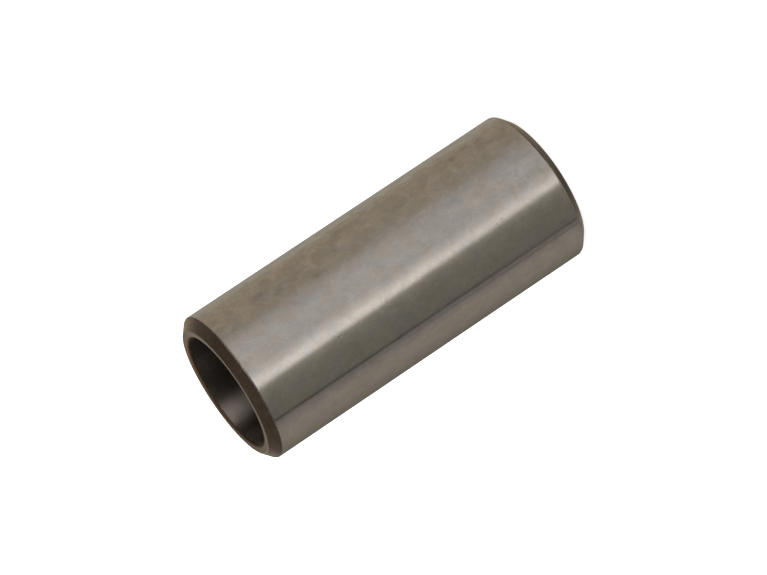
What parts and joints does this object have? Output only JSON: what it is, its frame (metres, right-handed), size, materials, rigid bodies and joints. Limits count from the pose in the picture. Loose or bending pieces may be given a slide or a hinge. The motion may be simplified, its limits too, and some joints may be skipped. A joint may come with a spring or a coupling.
{
  "type": "gudgeon pin",
  "caption": "Hollow ground steel gudgeon pin with chamfered ends and a through bore, the wrist pin that joins a piston to its connecting rod.",
  "frame": {"origin": "centre of the lower end face, on the pin's axis", "axes": "+Z along the pin's axis, from the end it stands on to the other end; X and Y are free because the pin is round"},
  "size_m": [0.024, 0.024, 0.057],
  "materials": {
    "ground_steel": "ground and lapped outside, dull brown heat tint on the end chamfers"
  },
  "bodies": {
    "root": {"gudgeon_pin": "ground_steel"}
  },
  "joints": []
}
